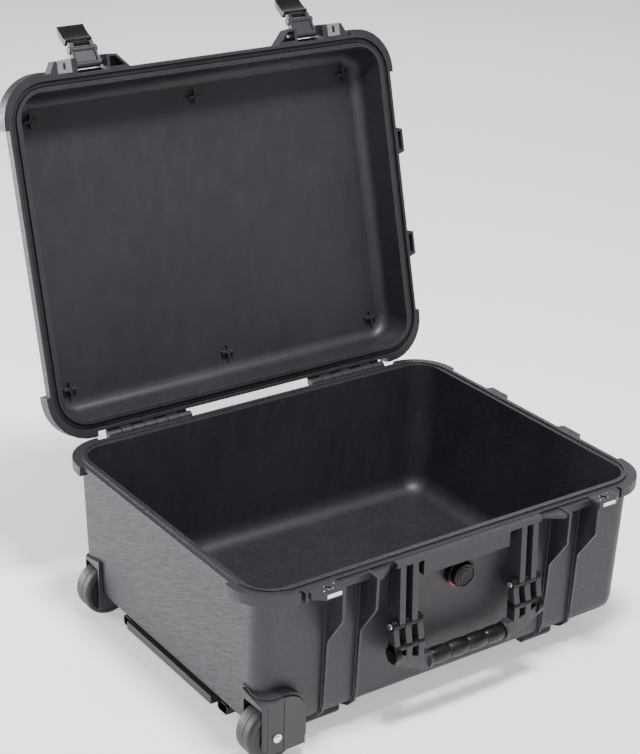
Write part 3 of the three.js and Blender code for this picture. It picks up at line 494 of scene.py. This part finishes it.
# ---- wheels -------------------------------------------------------------------------------
def wheel(end):
    """Tyre with a parting crease in its tread, and a ribbed hub."""
    low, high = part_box(f"wheel_tyre_{end}")
    middle, half = (low[1] + high[1]) / 2 / MM, (high[1] - low[1]) / 2 / MM
    side = [(1.2, 19.8), (1.2, 24), (0, 26), (0, 28.2), (0.9, 30.6), (2.8, 32), (5.5, 32.5)]
    tread = [(-half + t, r) for t, r in side] + [(-2.2, 32.5), (-1.6, 31.7), (-1.0, 32.4)]
    tread += [(half - t, r) for t, r in reversed(side)] + [(-half + 1.2, 19.8)]
    tyre = turned("y", WHEEL, [(middle + t, r) for t, r in tread], 96)
    gather(f"tyre_{end}", [tyre], "tyre", f"wheel_{end}", [f"wheel_tyre_{end}"])
    rim, web = half - 1.6, 4.5
    half_hub = [(rim, 19.7), (rim, 17.4), (rim - 0.8, 16.8), (web, 16.2), (web, 9.6), (rim, 9.2), (rim, 7.8)]
    hub = [(-t, r) for t, r in half_hub] + half_hub[::-1] + [(-rim, 19.7)]
    parts = [turned("y", WHEEL, [(middle + t, r) for t, r in hub], 72)]
    for i in range(6):
        bar = [(8.6, -0.9), (17.2, -0.9), (17.2, 0.9), (8.6, 0.9)]
        rib = slab("y", bar, middle - rim + 1.6, middle + rim - 1.6, 0.3)
        spin = Matrix.Rotation(math.radians(60 * i + 12), 4, "Y")
        turn = Matrix.Translation((WHEEL[0], 0, WHEEL[1])) @ spin
        bmesh.ops.transform(rib, matrix=turn, verts=rib.verts)
        parts.append(rib)
    gather(f"hub_{end}", parts, "moulded", f"wheel_{end}", [f"wheel_hub_{end}"])


def axle_rivet(end, s):
    """Domed steel head on the outer end of an axle."""
    low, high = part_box(f"wheel_axle_{end}")
    face = (high[1] if s > 0 else low[1]) / MM
    dome = [(0.1, 3.7), (-0.5, 3.6), (-0.9, 3.0), (-1.15, 2.2), (-1.2, 1.5), (-0.9, 1.1), (-0.8, 0)]
    head = turned("y", WHEEL, [(face + 0.3 * s - t * s, r) for t, r in dome], 40)
    gather(f"axle_rivet_{end}", [head], "steel", "base")


# ---- pressure valve --------------------------------------------------------------------------
def valve():
    """Knob with a fluted rim and turned rings, its red seal and the guard that hides most of it."""
    def fluted(t, radius, angle):
        return radius + (0.22 * math.cos(28 * angle) if 14 < radius < 15.2 else 0)

    knob = [(-206.8, 9), (-206.8, 14.2), (-207.3, 14.8), (-213.6, 14.9), (-214.8, 14.3), (-215.3, 13.3),
            (-215.3, 12.5), (-214.2, 12.1), (-214.2, 10.6), (-215.2, 10.2), (-215.2, 8.4), (-214.6, 8.0),
            (-214.6, 6.8), (-215.4, 6.4), (-215.5, 3.6), (-214.9, 3.2), (-214.9, 0)]
    gather("valve_knob", [turned("y", VALVE, knob, 168, fluted)], "black_moulded", "base", ["valve_cap"])
    seal = [(-204.2, 9.3), (-204.2, 16.3), (-204.7, 16.8), (-206.1, 16.9), (-206.7, 16.4), (-206.7, 9.3),
            (-204.2, 9.3)]
    gather("valve_red_seal", [turned("y", VALVE, seal, 96)], "red_ring", "base", ["valve_seal_ring"])
    guard = []
    steps, start, end = 28, math.radians(10), math.radians(197)
    angles = [start + (end - start) * i / steps for i in range(steps + 1)]
    for inner, outer, y0, y1 in ((17.2, 18.6, -199.5, -209.0), (15.5, 18.4, -207.0, -209.4)):
        arc = [(VALVE[0] + r * math.cos(a), VALVE[1] + r * math.sin(a))
               for r, run in ((inner, angles), (outer, angles[::-1])) for a in run]
        guard.append(slab("y", arc, y0, y1, 0.4))
    gather("valve_guard", guard, "black_moulded", "base")


# ---- hinge barrels ---------------------------------------------------------------------------
def hinge_barrels():
    """Round barrels over the hinge knuckles; the end ones also cover the ends of the pins."""
    first, pitch, width, pin_cover = 93.1, 16.4, 15.4, 1.8
    barrels = {"base": [], "lid": []}
    for _, s in SIDES:
        for i in range(7):
            start = first + pitch * i - (pin_cover if i == 0 else 0)
            stop = first + pitch * i + width + (pin_cover if i == 6 else 0)
            barrels["lid" if i % 2 else "base"].append(plug("x", LID_HINGE, 5.7, s * start, s * stop, 0.7))
    for body, parts in barrels.items():
        gather(f"hinge_barrels_{body}", parts, "moulded", body)


# ---- padlock tabs ----------------------------------------------------------------------------
def padlock_eyes():
    """Dark eyelet in each padlock hole of the base, with small bright studs around it."""
    for name, s in SIDES:
        x, y, top = s * PADLOCK[0], PADLOCK[1], PADLOCK_TOP
        eye = [(top - 4, 3.4), (top + 0.1, 3.4), (top + 0.4, 3.7), (top + 0.4, 4.3), (top + 0.1, 4.8),
               (top - 0.2, 4.8), (top - 0.2, 3.95), (top - 4, 3.95), (top - 4, 3.4)]
        gather(f"padlock_eye_{name}", [turned("z", (x, y), eye, 36)], "dark_steel", "base")
        studs = []
        for dx, dy in ((-9, -5), (9.5, 4.5), (3.4, -3.6), (-3.2, 3.4)):
            stud = [(top - 0.3, 0.85), (top + 0.25, 0.8), (top + 0.45, 0.5), (top + 0.5, 0)]
            studs.append(turned("z", (x + dx, y + dy), stud, 20))
        gather(f"padlock_studs_{name}", studs, "steel", "base")


# ---- latches (drawn with the lid closed) -------------------------------------------------------
LEVER_ANGLE = math.atan2(22, -20)


def lever_point(d, side):
    """Point at a distance along the lever and to one side of its middle line."""
    y, z = LEVER_PIVOT
    return (y + d * math.cos(LEVER_ANGLE) - side * math.sin(LEVER_ANGLE),
            z + d * math.sin(LEVER_ANGLE) + side * math.cos(LEVER_ANGLE))


def latch_lever(name, s):
    """Thumb lever: a pad with a deep root wall, a hollowed face and turned-down cheeks."""
    x = s * LATCH_X
    face = ((4.4, -2.2), (4.4, 2.4), (6.2, 3.0), (8.5, 2.2), (14, 1.5), (21, 1.6), (26, 2.3))
    tip = ((30.2, 3.4), (31, 2.6), (30.6, 1.0), (26, -1.2), (9, -1.6))
    pad = [lever_point(d, t) for d, t in face + tip]
    cheek = [lever_point(d, t) for d, t in ((5.2, -1.2), (5.6, -4.6), (7.5, -6.4), (24, -5.0), (29, -0.4))]
    tang = [lever_point(d, t) for d, t in ((-1, -2), (6, -2), (6, 2), (-1, 2))]
    root = [lever_point(d, t) for d, t in ((4.4, 2.2), (4.6, -5.4), (5.4, -6.2), (7.0, -6.2), (7.0, 2.2))]
    parts = [slab("x", pad, x - 18, x + 18, 1.1, 3), slab("x", root, x - 17.9, x + 17.9, 0.5),
             slab("x", tang, x - 10.6, x + 10.6, 0.4), plug("x", LEVER_PIVOT, 3.0, x - 10.6, x + 10.6, 0.4)]
    for t in (-1, 1):
        parts.append(slab("x", cheek, x + t * 16.2, x + t * 18, 0.5))
    gather(f"lever_{name}", parts, "black_moulded", f"lever_{name}", [f"latch_lever_{name}"], OPEN)


def latch_barrel(name, s):
    """Round cross bar of a latch arm with a collar at each end, and the black roll at its root."""
    x = s * LATCH_X
    parts = [plug("x", LATCH_BAR, 4.0, x - 18.7, x + 18.7, 0.6)]
    for t in (-1, 1):
        parts.append(plug("x", LATCH_BAR, 4.5, x + t * 16.6, x + t * 18.9, 0.5))
    gather(f"latch_bar_{name}", parts, "moulded", f"latch_{name}", (), OPEN)
    gather(f"latch_root_{name}", [plug("x", LATCH_PIVOT, 4.2, x - 16.8, x + 16.8, 0.8)], "black_moulded",
           f"latch_{name}", (), OPEN)


# ---- building -------------------------------------------------------------------------------
for handle_name, handle in HANDLES.items():
    handle_frame(handle_name, handle)
    handle_grip(handle_name, handle)
for end_name, end_side in ENDS:
    wheel(end_name)
    axle_rivet(end_name, end_side)
valve()
hinge_barrels()
padlock_eyes()
for side_name, side_sign in SIDES:
    latch_lever(side_name, side_sign)
    latch_barrel(side_name, side_sign)
